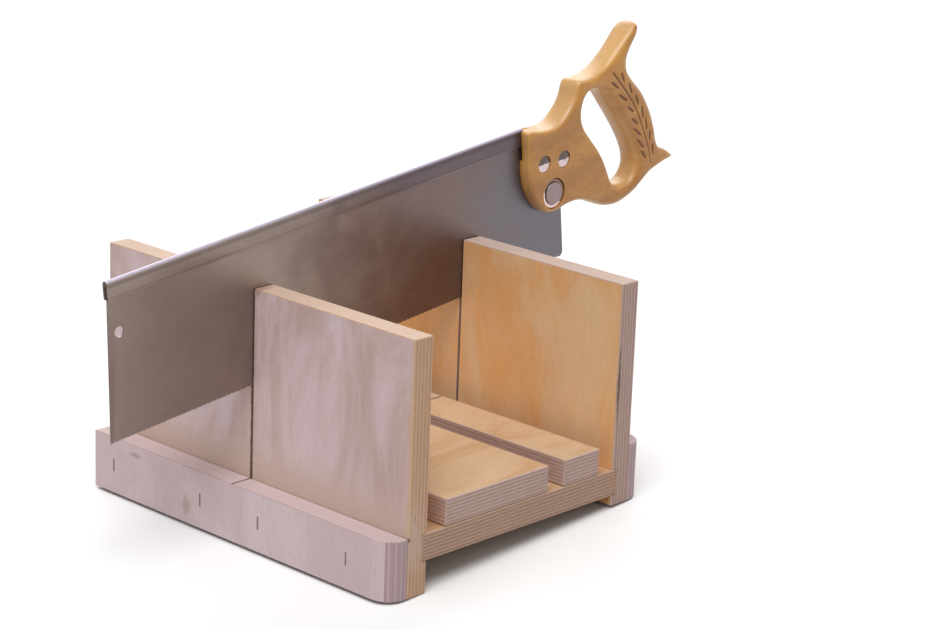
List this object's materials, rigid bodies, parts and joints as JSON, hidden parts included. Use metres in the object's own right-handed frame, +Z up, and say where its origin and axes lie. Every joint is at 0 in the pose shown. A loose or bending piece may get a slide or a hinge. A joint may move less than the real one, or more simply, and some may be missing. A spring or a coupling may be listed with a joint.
{
  "type": "mitre box with backsaw",
  "caption": "Plywood mitre box: walls cut by a square kerf, work rests on its base, and a wooden-handled backsaw that slides in the kerf.",
  "frame": {"origin": "middle of the base plate's underside, under the kerf", "axes": "+X across the box from the low foot to the high foot, towards the saw's handle; +Y along the box, away from the open end in the picture; +Z up from the base plate"},
  "size_m": [0.5778, 0.318, 0.3327],
  "materials": {
    "wall_plywood": "sanded birch plywood",
    "rest_plywood": "sanded plywood",
    "beech": "varnished",
    "blade_steel": "ground, lightly oiled",
    "bright_metal": "worn bright plating",
    "zinc": "dull zinc"
  },
  "bodies": {
    "box": {"base_plate": "rest_plywood", "left_wall": "wall_plywood", "right_wall": "wall_plywood", "left_batten": "wall_plywood", "right_batten": "wall_plywood", "wide_block_front": "rest_plywood", "wide_block_rear": "rest_plywood", "narrow_block_front": "rest_plywood", "narrow_block_rear": "rest_plywood", "left_staple_1": "zinc", "left_staple_2": "zinc", "left_staple_3": "zinc", "left_staple_4": "zinc", "right_staple_1": "zinc", "right_staple_2": "zinc", "right_staple_3": "zinc", "right_staple_4": "zinc", "left_wall_screw_1": "zinc", "left_wall_screw_2": "zinc", "left_wall_screw_3": "zinc", "left_wall_screw_4": "zinc", "right_wall_screw_1": "zinc", "right_wall_screw_2": "zinc", "right_wall_screw_3": "zinc", "right_wall_screw_4": "zinc", "wide_block_front_screw_1": "zinc", "wide_block_front_screw_2": "zinc", "wide_block_rear_screw_1": "zinc", "wide_block_rear_screw_2": "zinc", "narrow_block_front_screw_1": "zinc", "narrow_block_front_screw_2": "zinc", "narrow_block_rear_screw_1": "zinc", "narrow_block_rear_screw_2": "zinc"},
    "saw": {"saw_blade": "blade_steel", "saw_back": "blade_steel", "saw_handle": "beech", "saw_nut_front": "bright_metal", "saw_nut_rear": "bright_metal", "saw_bolt_front": "bright_metal", "saw_bolt_rear": "bright_metal", "medallion_bolt": "bright_metal", "medallion_nut": "bright_metal"}
  },
  "joints": [
    {"name": "saw_stroke", "type": "slide", "parent": "box", "child": "saw", "axis": [0.9928, 0, 0.1201], "range_m": [-0.073, 0.125]}
  ]
}
